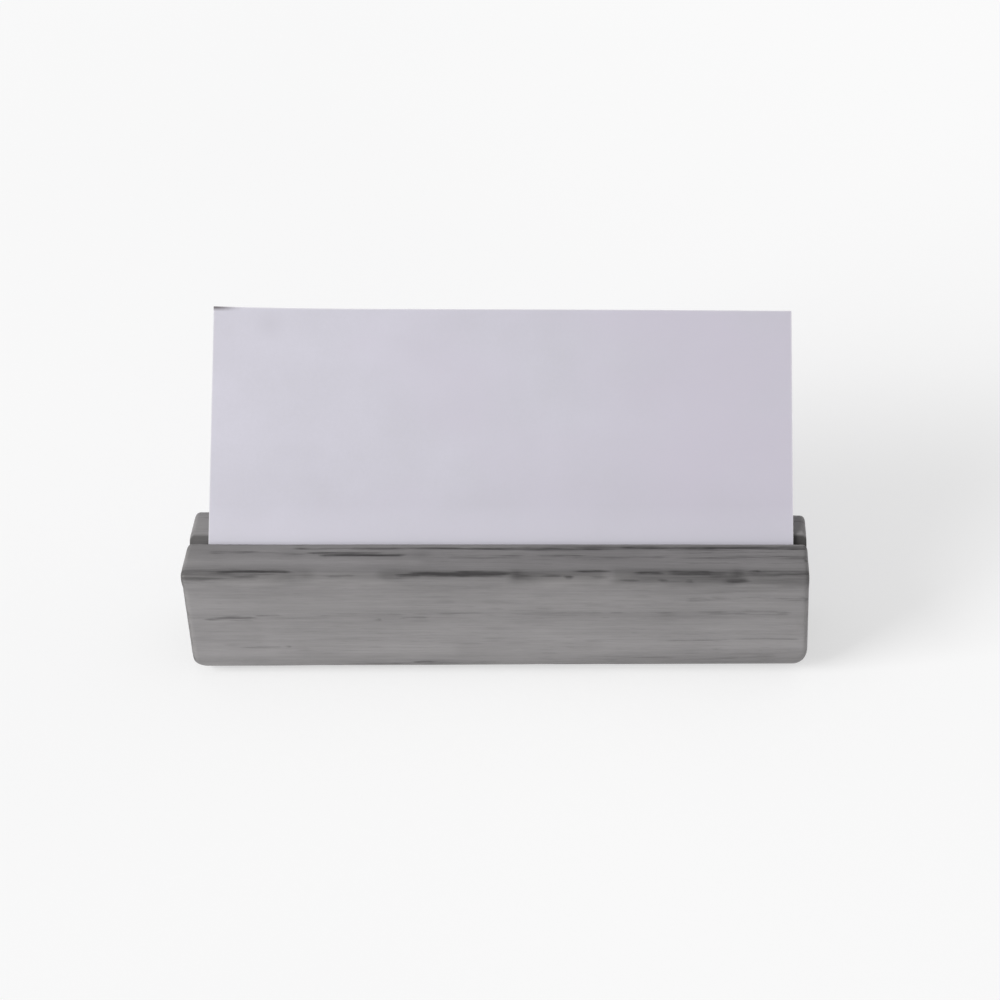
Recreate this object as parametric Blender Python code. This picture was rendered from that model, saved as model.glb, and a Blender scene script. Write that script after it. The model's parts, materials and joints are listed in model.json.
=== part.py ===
"""Menu holder: a square hardwood bar whose slanted saw kerf holds a card that leans back.

Units are metres. +Z is up, +X runs along the bar and the front of the bar faces -Y.
The origin lies on the table, under the middle of the whole object.
"""

import math

import bmesh
import bpy
from mathutils import Matrix, Vector

# Bar
BAR_LENGTH = 0.152
BAR_DEPTH = 0.029
BAR_HEIGHT = 0.029
EDGE_RADIUS = 0.0035
EDGE_SEGMENTS = 6

# Card
CARD_WIDTH = 0.1434
CARD_HEIGHT = 0.070
CARD_THICKNESS = 0.0004
CARD_SHIFT = 0.0008  # to the right of the bar's middle

# Kerf, a saw cut from end to end: its depth runs down its front wall
KERF_PLAY = 0.0028  # by which the kerf is wider than the card is thick
KERF_WIDTH = CARD_THICKNESS + KERF_PLAY
KERF_DEPTH = 0.012
KERF_SLANT = math.radians(36.0)
KERF_LIP_ADVANCE = 0.0005  # of the front lip, ahead of the middle of the bar's top
KERF_OVERRUN = 0.004  # of the cutter, past the bar's top and ends

# Bumper feet
FOOT_DIAMETER = 0.007
FOOT_HEIGHT = 0.0012
FOOT_TAPER = 0.0005  # by which a foot's radius narrows towards its base
FOOT_RIM_RADIUS = 0.0003
FOOT_RIM_SEGMENTS = 3
FOOT_SIDES = 32
FOOT_SMOOTH_ANGLE = math.radians(40.0)

# Clearances
CARD_CLEARANCE = 0.0003  # from the card to the kerf
GLUE_FILM = 0.0003  # between a foot and the bar

# Finishes: linear red, green and blue, then roughness
GREY_OAK = ((0.235, 0.228, 0.230), 0.55)
CARD_WHITE = ((0.720, 0.705, 0.770), 0.65)
RUBBER_BLACK = ((0.025, 0.025, 0.027), 0.70)


def clear_scene():
    for old in list(bpy.data.objects):
        bpy.data.objects.remove(old, do_unlink=True)


def make_material(name, finish):
    colour, roughness = finish
    material = bpy.data.materials.new(name)
    material.use_nodes = True
    shader = material.node_tree.nodes["Principled BSDF"]
    shader.inputs["Base Color"].default_value = (*colour, 1.0)
    shader.inputs["Roughness"].default_value = roughness
    shader.inputs["Metallic"].default_value = 0.0
    return material


def add_object(name, mesh_data, parent, location):
    piece = bpy.data.objects.new(name, mesh_data)
    bpy.context.scene.collection.objects.link(piece)
    piece.parent = parent
    piece.location = location
    return piece


def box_mesh(name, low, high):
    """A box between two corners, in its object's own axes."""
    low = Vector(low)
    high = Vector(high)
    shape = bmesh.new()
    place = Matrix.Translation((low + high) / 2.0) @ Matrix.Diagonal((*(high - low), 1.0))
    bmesh.ops.create_cube(shape, size=1.0, matrix=place)
    mesh_data = bpy.data.meshes.new(name)
    shape.to_mesh(mesh_data)
    shape.free()
    return mesh_data


def kerf_foot():
    """The point where the kerf's front wall meets its floor, from the middle of the bar's underside."""
    front_lip = Vector((0.0, -KERF_LIP_ADVANCE, BAR_HEIGHT))
    up_the_wall = Vector((0.0, math.sin(KERF_SLANT), math.cos(KERF_SLANT)))
    return front_lip - KERF_DEPTH * up_the_wall


def rear_wall_height():
    """Length of the kerf's rear wall, which is longer than the front one because the kerf slants."""
    return KERF_DEPTH + KERF_WIDTH * math.tan(KERF_SLANT)


def card_lean():
    """Angle of the card from upright, with its foot at the front wall and its back at the rear lip."""
    across = KERF_WIDTH - CARD_CLEARANCE
    along = rear_wall_height() - CARD_CLEARANCE - CARD_THICKNESS
    back_to_foot = CARD_THICKNESS + CARD_CLEARANCE
    tilt = math.acos(back_to_foot / math.hypot(across, along)) - math.atan2(along, across)
    return KERF_SLANT + tilt


def card_foot():
    """The front lower edge of the card, a clearance off the front wall and clear of the floor."""
    up_the_wall = Vector((0.0, math.sin(KERF_SLANT), math.cos(KERF_SLANT)))
    off_the_wall = Vector((0.0, math.cos(KERF_SLANT), -math.sin(KERF_SLANT)))
    rise = CARD_CLEARANCE + CARD_THICKNESS
    foot = kerf_foot() + CARD_CLEARANCE * off_the_wall + rise * up_the_wall
    return foot + Vector((CARD_SHIFT, 0.0, 0.0))


def object_middle():
    """Depth of the object's middle, from the middle of the bar: the leaning card reaches behind it."""
    lean = card_lean()
    card_back = card_foot().y + CARD_HEIGHT * math.sin(lean) + CARD_THICKNESS * math.cos(lean)
    front = -BAR_DEPTH / 2.0
    back = max(BAR_DEPTH / 2.0, card_back)
    return (front + back) / 2.0


def make_bar(holder):
    half = Vector((BAR_LENGTH / 2.0, BAR_DEPTH / 2.0, 0.0))
    top = Vector((0.0, 0.0, BAR_HEIGHT))
    bar = add_object("wood_block", box_mesh("wood_block", -half, half + top), holder, (0.0, 0.0, 0.0))
    bar.data.materials.append(make_material("grey_stained_oak", GREY_OAK))

    easing = bar.modifiers.new("eased_edges", "BEVEL")
    easing.limit_method = "NONE"
    easing.width = EDGE_RADIUS
    easing.segments = EDGE_SEGMENTS

    overrun = BAR_LENGTH / 2.0 + KERF_OVERRUN
    cutter_low = (-overrun, 0.0, 0.0)
    cutter_high = (overrun, KERF_WIDTH, rear_wall_height() + KERF_OVERRUN)
    cutter_mesh = box_mesh("kerf_cutter", cutter_low, cutter_high)
    cutter = add_object("kerf_cutter", cutter_mesh, holder, kerf_foot())
    cutter.rotation_euler.x = -KERF_SLANT
    cutter.hide_render = True
    cutter.display_type = "WIRE"

    kerf = bar.modifiers.new("kerf", "BOOLEAN")
    kerf.operation = "DIFFERENCE"
    kerf.solver = "EXACT"
    kerf.object = cutter


def make_card(holder):
    """The card lies in its object's XZ plane, so its own Z axis is the way it slides out."""
    half_width = CARD_WIDTH / 2.0
    low = (-half_width, 0.0, 0.0)
    high = (half_width, CARD_THICKNESS, CARD_HEIGHT)
    card = add_object("menu_card", box_mesh("menu_card", low, high), holder, card_foot())
    card.rotation_euler.x = -card_lean()
    card.data.materials.append(make_material("white_card", CARD_WHITE))


def foot_mesh():
    """A low round bumper with its flat base at the bottom and a rounded lower rim."""
    shape = bmesh.new()
    bmesh.ops.create_cone(
        shape,
        cap_ends=True,
        segments=FOOT_SIDES,
        radius1=FOOT_DIAMETER / 2.0 - FOOT_TAPER,
        radius2=FOOT_DIAMETER / 2.0,
        depth=FOOT_HEIGHT,
        matrix=Matrix.Translation((0.0, 0.0, FOOT_HEIGHT / 2.0)),
    )
    middle = FOOT_HEIGHT / 2.0
    rim = [edge for edge in shape.edges if all(corner.co.z < middle for corner in edge.verts)]
    bmesh.ops.bevel(
        shape, geom=rim, offset=FOOT_RIM_RADIUS, segments=FOOT_RIM_SEGMENTS, profile=0.5, affect="EDGES"
    )
    mesh_data = bpy.data.meshes.new("bumper_foot")
    shape.to_mesh(mesh_data)
    shape.free()
    mesh_data.shade_smooth()
    mesh_data.set_sharp_from_angle(angle=FOOT_SMOOTH_ANGLE)
    return mesh_data


def make_feet(holder):
    """One foot in each quarter of the flat underside, as far from the end as from the side."""
    shared_mesh = foot_mesh()
    shared_mesh.materials.append(make_material("bumper_rubber", RUBBER_BLACK))
    flat_half_depth = BAR_DEPTH / 2.0 - EDGE_RADIUS
    flat_half_length = BAR_LENGTH / 2.0 - EDGE_RADIUS
    spread = flat_half_depth / 2.0
    reach = flat_half_length - spread
    drop = -(GLUE_FILM + FOOT_HEIGHT)
    for row, y in (("front", -spread), ("rear", spread)):
        for side, x in (("left", -reach), ("right", reach)):
            add_object("foot_" + row + "_" + side, shared_mesh, holder, (x, y, drop))


def main():
    clear_scene()
    holder = bpy.data.objects.new("menu_holder", None)
    bpy.context.scene.collection.objects.link(holder)
    holder.location = (0.0, -object_middle(), FOOT_HEIGHT + GLUE_FILM)
    make_bar(holder)
    make_card(holder)
    make_feet(holder)


main()
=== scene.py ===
"""Looks of the menu holder: a grey-stained oak bar, a blank card in its kerf and rubber bumper feet.

Units are metres in the part's own frame: +Z is up, +X runs along the bar and its front faces -Y.
"""

import json
import math

import bmesh
import bpy
import numpy as np
from mathutils import Matrix, Vector
from mathutils.geometry import delaunay_2d_cdt


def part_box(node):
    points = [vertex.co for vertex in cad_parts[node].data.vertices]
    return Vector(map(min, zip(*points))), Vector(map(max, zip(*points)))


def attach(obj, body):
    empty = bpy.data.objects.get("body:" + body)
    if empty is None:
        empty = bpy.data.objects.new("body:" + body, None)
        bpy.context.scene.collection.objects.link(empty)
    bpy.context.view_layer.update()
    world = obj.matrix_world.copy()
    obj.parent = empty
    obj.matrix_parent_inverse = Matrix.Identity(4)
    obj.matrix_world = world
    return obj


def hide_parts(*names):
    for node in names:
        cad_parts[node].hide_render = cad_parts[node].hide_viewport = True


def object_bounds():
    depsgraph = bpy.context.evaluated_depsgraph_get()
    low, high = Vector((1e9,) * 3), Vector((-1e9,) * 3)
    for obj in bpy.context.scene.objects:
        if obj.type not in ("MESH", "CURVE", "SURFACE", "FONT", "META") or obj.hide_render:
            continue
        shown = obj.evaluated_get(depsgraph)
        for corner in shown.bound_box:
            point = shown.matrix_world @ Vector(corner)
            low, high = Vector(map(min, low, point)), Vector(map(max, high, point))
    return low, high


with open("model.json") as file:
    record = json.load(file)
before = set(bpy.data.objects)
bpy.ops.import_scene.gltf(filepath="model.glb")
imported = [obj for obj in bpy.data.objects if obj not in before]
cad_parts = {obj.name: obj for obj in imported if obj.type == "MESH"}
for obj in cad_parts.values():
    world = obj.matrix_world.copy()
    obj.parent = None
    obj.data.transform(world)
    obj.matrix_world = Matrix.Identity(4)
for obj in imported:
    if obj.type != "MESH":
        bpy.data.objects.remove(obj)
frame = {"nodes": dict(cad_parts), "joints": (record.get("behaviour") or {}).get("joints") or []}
CAD_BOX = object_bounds()

MM = 0.001
SEED = 11
SHARP_ANGLE = math.radians(40.0)  # between faces, above which their edge isn't smoothed

# Camera, at the photograph's viewing angle
IMAGE_SIZE = 1000.0  # in pixels
FOCAL_PIXELS = 2612.0
SENSOR_WIDTH = 36.0  # in millimetres
CLIP_START = 0.01
CAMERA_PLACE = Vector((0.0253, -0.5178, 0.4225))
CAMERA_YAW = math.radians(-2.73)
CAMERA_PITCH = math.radians(36.94)
CAMERA_ROLL = math.radians(-1.67)

# Bar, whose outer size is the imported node's own
BAR_LOW, BAR_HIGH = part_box("wood_block")
BAR_LENGTH = BAR_HIGH.x - BAR_LOW.x
BAR_MIDDLE_Y = (BAR_LOW.y + BAR_HIGH.y) / 2.0
EDGE_RADIUS = 3.5 * MM
KERF_WIDTH = 3.2 * MM
KERF_DEPTH = 12.0 * MM
KERF_SLANT = math.radians(36.0)
KERF_LIP_ADVANCE = 0.5 * MM

# Card, which stands along the slide's own axis
CARD_WIDTH = 143.4 * MM
CARD_HEIGHT = 70.0 * MM
CARD_THICKNESS = 0.4 * MM
CARD_MIDDLE_X = 0.8 * MM


def smooth(share):
    """Eases a share from 0 to 1, with values outside that range held at its ends."""
    share = np.clip(share, 0.0, 1.0)
    return share * share * (3.0 - 2.0 * share)


def lattice_noise(rng, u, v):
    """Smooth random values from -1 to 1 over two coordinates that are given in cells."""
    u_cell = np.floor(u).astype(int)
    v_cell = np.floor(v).astype(int)
    u_share = smooth(u - u_cell)
    v_share = smooth(v - v_cell)
    u_cell = u_cell - u_cell.min()
    v_cell = v_cell - v_cell.min()
    grid = rng.uniform(-1.0, 1.0, (u_cell.max() + 2, v_cell.max() + 2))
    near = grid[u_cell, v_cell] * (1.0 - v_share) + grid[u_cell, v_cell + 1] * v_share
    far = grid[u_cell + 1, v_cell] * (1.0 - v_share) + grid[u_cell + 1, v_cell + 1] * v_share
    return near * (1.0 - u_share) + far * u_share


def relief(rng, along, across, cell):
    """Smooth random values from -1 to 1 over a surface, in cells of the given length and width."""
    return lattice_noise(rng, along / cell[0], across / cell[1])


def link(piece):
    bpy.context.scene.collection.objects.link(piece)
    return piece


def set_attribute(mesh, name, values):
    layer = mesh.attributes.new(name, "FLOAT", "POINT")
    layer.data.foreach_set("value", np.ascontiguousarray(values, np.float32))


class Tree:
    """A material's node tree, with short ways to add the nodes that the finishes share."""

    def __init__(self, name):
        self.material = bpy.data.materials.new(name)
        self.material.use_nodes = True
        self.nodes = self.material.node_tree.nodes
        self.links = self.material.node_tree.links
        self.shader = self.nodes["Principled BSDF"]
        self.place = self.add("ShaderNodeTexCoord").outputs["Object"]

    def add(self, kind, **values):
        node = self.nodes.new(kind)
        for name, value in values.items():
            setattr(node, name, value)
        return node

    def put(self, socket, value):
        """Links an output to a socket, or sets the socket's own value."""
        if isinstance(value, bpy.types.NodeSocket):
            self.links.new(value, socket)
        else:
            socket.default_value = value

    def attribute(self, name):
        return self.add("ShaderNodeAttribute", attribute_name=name).outputs["Fac"]

    def scaled(self, scale, offset=(0.0, 0.0, 0.0)):
        """Object coordinates in cells: scale is in cells per metre along each axis."""
        mapping = self.add("ShaderNodeMapping")
        self.put(mapping.inputs["Vector"], self.place)
        self.put(mapping.inputs["Scale"], scale)
        self.put(mapping.inputs["Location"], offset)
        return mapping.outputs["Vector"]

    def noise(self, cell, detail=2.0, roughness=0.5, offset=(0.0, 0.0, 0.0)):
        """Noise from 0 to 1 whose cells have the given size along each axis."""
        node = self.add("ShaderNodeTexNoise")
        self.put(node.inputs["Vector"], self.scaled([1.0 / size for size in cell], offset))
        self.put(node.inputs["Scale"], 1.0)
        self.put(node.inputs["Detail"], detail)
        self.put(node.inputs["Roughness"], roughness)
        return node.outputs["Fac"]

    def math(self, operation, first, second=0.0, third=0.0):
        node = self.add("ShaderNodeMath", operation=operation)
        for socket, value in zip(node.inputs, (first, second, third)):
            self.put(socket, value)
        return node.outputs["Value"]

    def weighted(self, *terms):
        """The sum of outputs, each with its weight."""
        total = 0.0
        for output, weight in terms:
            total = self.math("MULTIPLY_ADD", output, weight, total)
        return total

    def span(self, value, low, high, to_low=0.0, to_high=1.0):
        """Maps a value from one range to another, held at its ends."""
        node = self.add("ShaderNodeMapRange", clamp=True)
        self.put(node.inputs["Value"], value)
        self.put(node.inputs["From Min"], low)
        self.put(node.inputs["From Max"], high)
        self.put(node.inputs["To Min"], to_low)
        self.put(node.inputs["To Max"], to_high)
        return node.outputs["Result"]

    def spot(self, centre, radius, inside=1.0, outside=0.0):
        """A value that changes evenly from a point to a radius from it."""
        node = self.add("ShaderNodeVectorMath", operation="DISTANCE")
        self.put(node.inputs[0], self.place)
        self.put(node.inputs[1], centre)
        return self.span(node.outputs["Value"], 0.0, radius, inside, outside)

    def ramp(self, value, *stops):
        node = self.add("ShaderNodeValToRGB")
        elements = node.color_ramp.elements
        while len(elements) < len(stops):
            elements.new(0.5)
        for element, (position, colour) in zip(elements, stops):
            element.position = position
            element.color = (*colour, 1.0)
        self.put(node.inputs["Fac"], value)
        return node.outputs["Color"]

    def mix(self, first, second, share):
        node = self.add("ShaderNodeMix", data_type="RGBA")
        inputs = {socket.identifier: socket for socket in node.inputs}
        outputs = {socket.identifier: socket for socket in node.outputs}
        self.put(inputs["Factor_Float"], share)
        self.put(inputs["A_Color"], first)
        self.put(inputs["B_Color"], (*second, 1.0))
        return outputs["Result_Color"]

    def bump(self, height, distance):
        node = self.add("ShaderNodeBump")
        self.put(node.inputs["Height"], height)
        self.put(node.inputs["Distance"], distance)
        self.put(self.shader.inputs["Normal"], node.outputs["Normal"])

    def finish(self, **sockets):
        """Sets the shader's sockets, with an underscore for each space in a name."""
        for name, value in sockets.items():
            self.put(self.shader.inputs[name.replace("_", " ")], value)
        return self.material


# Bar

# Steps along each stretch of the section's outline, which starts at the kerf's front lip and runs forwards
OUTLINE_STEPS = {
    "top_front": 48,
    "edge_front_top": 22,
    "front": 76,
    "edge_front_bottom": 18,
    "bottom": 30,
    "edge_rear_bottom": 14,
    "rear": 60,
    "edge_rear_top": 16,
    "top_rear": 28,
    "kerf_rear": 40,
    "kerf_floor": 10,
    "kerf_front": 36,
}
OUTLINE_PARTS = np.repeat(list(OUTLINE_STEPS), list(OUTLINE_STEPS.values()))
ARRIS_PASSES = 4  # of averaging along the outline, which break the kerf's sharp lips
STATION_STEP = 1.0 * MM
END_STEPS = 12
END_RADIUS = 1.2 * MM  # of the edges round an end, apart from the one on the underside
END_ANGLE = math.radians(85.0)  # where the round of an end gives way to its flat
END_GRID = 0.7 * MM  # between the inner points of an end
END_JITTER = 0.25  # of that step, by which the points are moved at random
END_WELD = 1e-6  # in millimetres, within which points are the same
INSIDE_ONLY = 1  # keeps the triangles within an end's outline
GRAIN_DIP = math.radians(37.0)  # of the layers of wood, towards the back
KERF_LIP_FADE = 0.6 * MM  # of the painted shade in the kerf, down from its lips
LOW_EDGE_EXTRA = 0.4 * MM  # by which the lower front edge is rounder than the other edges
LOW_EDGE_TAPER = 1.1 * MM  # by which it is rounder still at the right end, and sharper at the left
LOW_EDGE_LEAST = 0.3 * MM  # its least radius, at the ends
REAR_EDGE_TAPER = 2.0 * MM  # by which the rear top edge is rounder at the right end than in the middle
LOW_END_STRETCH = 0.6  # by which the round below the right end is taller than the one below the left
LEFT_END_SKEW = 0.3 * MM  # by which the left end runs out at the top of its front and in at the bottom
RIGHT_END_SKEW = 0.38 * MM  # by which the right end runs in at the top of its front and out at the bottom
LEFT_NOSE = 0.95 * MM  # by which the front stops short of the left end
RIGHT_NOSE = 0.25 * MM  # by which it stops short of the right end
LEFT_HEEL = 0.7 * MM  # by which the back stops short of the left end

# Dark streaks of open pores, in millimetres: from and to along the bar, their girth there, half of their
# width, and how dark they are. Girth runs round the section from the middle of the front top edge, down the
# front where it is positive and towards the kerf where it is negative.
STREAKS = (
    # The first four rows draw a dark line just in front of the kerf's front lip, below the card
    (-70.0, -45.0, -12.8, -12.8, 0.45, 0.65),
    (-52.0, -28.0, -11.4, -11.4, 0.45, 0.75),
    (-38.0, 12.0, -11.4, -11.4, 0.60, 0.85),
    (4.0, 79.0, -11.45, -11.45, 1.00, 0.80),
    (-72.0, -56.0, -9.7, -9.6, 0.80, 0.60),
    (-62.0, -44.0, -9.3, -9.3, 0.45, 0.45),
    (-48.0, -25.0, -9.8, -9.6, 0.50, 0.78),
    (-45.0, -20.0, -8.75, -8.65, 0.80, 0.86),
    (-14.0, 9.0, -8.3, -8.1, 1.10, 0.52),
    (8.0, 24.0, -8.5, -8.4, 0.60, 0.50),
    (16.0, 80.0, -7.8, -7.7, 0.95, 0.45),
    (36.0, 78.0, -9.6, -9.7, 0.40, 0.45),
    (44.0, 78.0, -5.6, -5.6, 0.50, 0.40),
    (74.0, 77.0, -6.3, -6.3, 0.80, 0.60),
    (-82.0, -47.0, -2.3, -2.1, 0.85, 0.82),
    (-82.0, -50.0, -1.3, -1.3, 0.40, 0.60),
    (-70.0, -58.0, -2.2, -2.1, 0.75, 1.10),
    (-82.0, -55.0, -0.3, -0.4, 1.10, 0.58),
    (-43.0, -31.0, -1.0, -1.0, 0.60, 0.40),
    (-26.0, -15.0, -1.1, -1.1, 0.60, 1.00),
    (-23.0, -4.0, -1.3, -1.8, 0.75, 1.00),
    (-12.0, 6.0, -1.8, -2.1, 0.85, 1.10),
    (-16.0, 5.0, -1.2, -1.1, 0.45, 0.80),
    (3.0, 11.0, -1.4, -1.3, 0.60, 0.58),
    (9.0, 19.0, -1.3, -1.0, 0.80, 0.45),
    (16.0, 20.0, -0.8, -0.7, 0.65, 0.85),
    (18.0, 30.0, -2.5, -2.4, 0.55, 0.95),
    (21.0, 30.0, -0.5, -0.4, 0.45, 0.65),
    (28.0, 37.0, 0.1, 0.2, 0.40, 0.60),
    (32.0, 43.0, -1.9, -1.9, 0.50, 1.00),
    (40.0, 55.0, -2.1, -2.0, 0.80, 0.85),
    (38.0, 43.5, 0.0, 0.1, 0.70, 0.65),
    (45.0, 49.5, 0.1, 0.2, 0.60, 0.65),
    (49.0, 58.0, -1.2, -1.2, 1.30, 0.55),
    (54.0, 63.5, 0.2, 0.3, 0.60, 1.00),
    (61.0, 65.5, -2.3, -2.3, 0.70, 0.80),
    (59.0, 82.0, -1.9, -1.7, 1.20, 0.64),
    (-74.0, -57.0, 11.3, 11.2, 0.80, 0.62),
    (-62.0, -50.0, 10.6, 10.5, 0.50, 0.60),
    (-58.0, -46.0, 11.2, 11.2, 0.40, 0.35),
    (-48.0, -20.0, 10.2, 10.0, 0.50, 0.32),
    (-30.5, -27.0, 11.4, 11.4, 0.70, 0.45),
    (-26.0, -14.0, 11.2, 11.1, 0.45, 0.45),
    (-22.0, 4.0, 9.7, 9.7, 0.45, 0.42),
    (2.0, 30.0, 9.6, 9.8, 0.50, 0.34),
    (25.0, 46.0, 9.8, 9.7, 0.45, 0.50),
    (24.0, 30.0, 11.3, 11.3, 0.40, 0.42),
    (46.0, 74.0, 9.8, 9.9, 1.00, 0.44),
    (44.0, 82.0, 5.4, 5.4, 0.85, 0.48),
    (-66.0, -51.0, 20.2, 20.2, 0.45, 0.45),
    (-53.5, -50.0, 20.1, 20.1, 0.50, 0.60),
    (-24.0, 4.0, 18.2, 18.2, 0.50, 0.28),
    (8.0, 18.0, 22.6, 22.6, 0.50, 0.35),
    (40.0, 76.0, 18.6, 18.5, 0.50, 0.32),
    (-20.0, 32.0, 25.2, 25.1, 0.70, 0.30),
    (30.0, 80.0, 24.8, 24.8, 0.80, 0.32),
)
# Soft stains along the grain, in the same terms, with pale ones below zero, and a few rows of painted shade
# and painted light, marked below
STAINS_AND_PAINTED_LIGHT = (
    (-84.0, -42.0, -1.8, -1.6, 1.90, 0.18),
    (-48.0, -20.0, -0.8, -0.6, 1.20, 0.10),
    (-30.0, 8.0, -1.6, -1.9, 1.50, 0.18),
    (2.0, 29.0, -1.2, -1.4, 2.00, 0.34),
    (26.0, 62.0, -1.9, -1.8, 1.90, 0.27),
    (56.0, 84.0, -1.8, -1.6, 1.90, 0.18),
    (26.0, 60.0, 0.1, 0.2, 1.10, 0.20),
    (54.0, 84.0, 0.2, 0.3, 1.10, 0.13),
    (48.0, 70.0, 1.2, 1.3, 0.35, -0.10),
    (-84.0, 84.0, 2.6, 2.6, 2.20, 0.06),
    (-84.0, 84.0, 10.8, 10.4, 1.60, 0.05),
    (-84.0, -20.0, 6.5, 6.5, 2.00, -0.05),
    (-60.0, 84.0, 17.5, 17.5, 5.00, -0.06),
    (-84.0, -8.0, 21.0, 20.5, 3.00, -0.08),
    (-84.0, -46.0, -0.2, -0.2, 1.00, 0.12),
    (24.0, 84.0, 20.5, 20.0, 1.80, -0.08),
    # Painted shade: this row darkens the lower front edge from the middle to the right end
    (-20.0, 88.0, 27.0, 25.8, 2.80, 0.17),
    (-80.0, -46.0, -9.7, -9.6, 1.60, 0.08),
    (-54.0, -14.0, -9.0, -8.9, 1.20, 0.12),
    (-22.0, 38.0, -8.6, -8.4, 1.80, 0.06),
    (-80.0, -16.0, -5.8, -5.8, 1.40, -0.12),
    # This row darkens the same line in front of the kerf's lip, on the right
    (6.0, 80.0, -11.6, -11.6, 1.20, 0.10),
    # The last two rows are painted light: they lighten the rear top edge near each end of the bar
    (-90.0, -62.0, 88.0, 88.0, 6.00, -0.22),
    (62.0, 90.0, 88.0, 88.0, 6.00, -0.20),
)
# Guessed streaks on the underside, the back and the rear of the top, in the same terms
GUESSED_STREAKS = 44
GUESSED_GIRTH = (27.0, 92.0)
GUESSED_BAND = 7.5  # between bands of early wood
GUESSED_SPREAD = 0.7  # of streaks about the middle of their band
GUESSED_DRIFT = 0.3  # of a streak's girth along its length
GUESSED_START = (-78.0, 60.0)
GUESSED_LENGTH = (6.0, 60.0)
GUESSED_HALF_WIDTH = (0.35, 0.75)
GUESSED_DARK = (0.25, 0.90)

# Relief of the streaks, with the cells of its noise along the bar and round it
STREAK_FADE = 4.0 * MM
STREAK_HOLD = 1.6  # of streaks over the rounded ends, before they fade
STREAK_DEPTH = 0.08 * MM
STREAK_WANDER = 0.25 * MM
WANDER_CELL = 9.0 * MM
LINE_BREAK = 0.30  # by which long fine lines break up a streak
LINE_CELL = (14.0 * MM, 0.5 * MM)
RAGGED_BREAK = 0.20  # by which short ones do
RAGGED_CELL = (2.5 * MM, 0.4 * MM)

# Relief of the pores between the streaks
PORE_DEPTH = 0.08 * MM
PORE_CELL = (6.0 * MM, 0.45 * MM)
PORE_FROM = 0.35  # of the noise, above which a pore opens
PORE_SPAN = 0.45  # over which it opens fully
PORE_SHARE = 0.40  # of open pores
PORE_BAND_SHARE = 0.75  # by which that share grows and shrinks with the bands of early wood
PORE_BAND_CELL = (70.0 * MM, 2.6 * MM)
PORE_SHARE_AHEAD = 0.30  # of the pores, on the front and the top where the streaks are listed

# Relief of the planed sides, the kerf and the ends
PLANE_UNEVENNESS = 0.05 * MM
PLANE_CELL = (35.0 * MM, 7.0 * MM)
FIBRE_HEIGHT = 0.015 * MM
FIBRE_CELL = (14.0 * MM, 0.7 * MM)
SAW_MARK_HEIGHT = 0.06 * MM
SAW_MARK_CELL = (2.2 * MM, 6.0 * MM)
END_ROUGHNESS = 0.03 * MM
END_CELL = (0.9 * MM, 0.9 * MM)


def stretch(start, end, steps):
    """Points from a start towards an end, at which the next stretch begins."""
    share = np.arange(steps)[:, None] / steps
    return np.asarray(start) + (np.asarray(end) - np.asarray(start)) * share


def quarter(centre, radii, turn, steps):
    """A quarter of an ellipse that begins at a turn from the rear, upwards over the top."""
    angle = turn + np.arange(steps) / steps * math.pi / 2.0
    return np.asarray(centre) + np.asarray(radii) * np.stack([np.cos(angle), np.sin(angle)], 1)


def section(along, inset, low_inset):
    """The bar's outline as (y, z) points at a place along it, drawn in where its ends are rounded."""
    to_right = along / (BAR_LENGTH / 2.0)
    front = BAR_LOW.y + inset
    rear = BAR_HIGH.y - inset
    top = BAR_HIGH.z - inset
    bottom = BAR_LOW.z + low_inset * (1.0 + LOW_END_STRETCH * max(to_right, 0.0))
    radius = EDGE_RADIUS - inset
    low_radius = EDGE_RADIUS - low_inset
    rear_radius = radius + REAR_EDGE_TAPER * max(to_right, 0.0)
    extra = LOW_EDGE_EXTRA + LOW_EDGE_TAPER * to_right
    low_front = np.maximum((radius + extra, low_radius + extra), LOW_EDGE_LEAST)
    up_wall = np.array((math.sin(KERF_SLANT), math.cos(KERF_SLANT)))
    off_wall = np.array((math.cos(KERF_SLANT), -math.sin(KERF_SLANT)))
    full_lip = np.array((BAR_MIDDLE_Y - KERF_LIP_ADVANCE, BAR_HIGH.z))
    front_foot = full_lip - KERF_DEPTH * up_wall
    rear_foot = front_foot + KERF_WIDTH * off_wall
    front_lip = front_foot + (top - front_foot[1]) / up_wall[1] * up_wall
    rear_lip = rear_foot + (top - rear_foot[1]) / up_wall[1] * up_wall
    half_turn = math.pi
    steps = OUTLINE_STEPS
    outline = np.concatenate([
        stretch(front_lip, (front + radius, top), steps["top_front"]),
        quarter((front + radius, top - radius), (radius, radius), half_turn / 2.0, steps["edge_front_top"]),
        stretch((front, top - radius), (front, bottom + low_front[1]), steps["front"]),
        quarter((front, bottom) + low_front, low_front, half_turn, steps["edge_front_bottom"]),
        stretch((front + low_front[0], bottom), (rear - radius, bottom), steps["bottom"]),
        quarter((rear - radius, bottom + low_radius), (radius, low_radius), half_turn * 1.5,
                steps["edge_rear_bottom"]),
        stretch((rear, bottom + low_radius), (rear, top - rear_radius), steps["rear"]),
        quarter((rear - rear_radius, top - rear_radius), (rear_radius, rear_radius), 0.0,
                steps["edge_rear_top"]),
        stretch((rear - rear_radius, top), rear_lip, steps["top_rear"]),
        stretch(rear_lip, rear_foot, steps["kerf_rear"]),
        stretch(rear_foot, front_foot, steps["kerf_floor"]),
        stretch(front_foot, front_lip, steps["kerf_front"]),
    ])
    for _ in range(ARRIS_PASSES):
        outline = outline / 2.0 + (np.roll(outline, 1, 0) + np.roll(outline, -1, 0)) / 4.0
    return outline


def section_girth():
    """Length along the outline from the middle of the front top edge, at each of its points."""
    outline = section(0.0, 0.0, 0.0)
    run = np.linalg.norm(np.diff(outline, axis=0), axis=1)
    girth = np.concatenate([[0.0], np.cumsum(run)])
    edge = np.flatnonzero(OUTLINE_PARTS == "edge_front_top")
    return girth - girth[edge[len(edge) // 2]]


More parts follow.
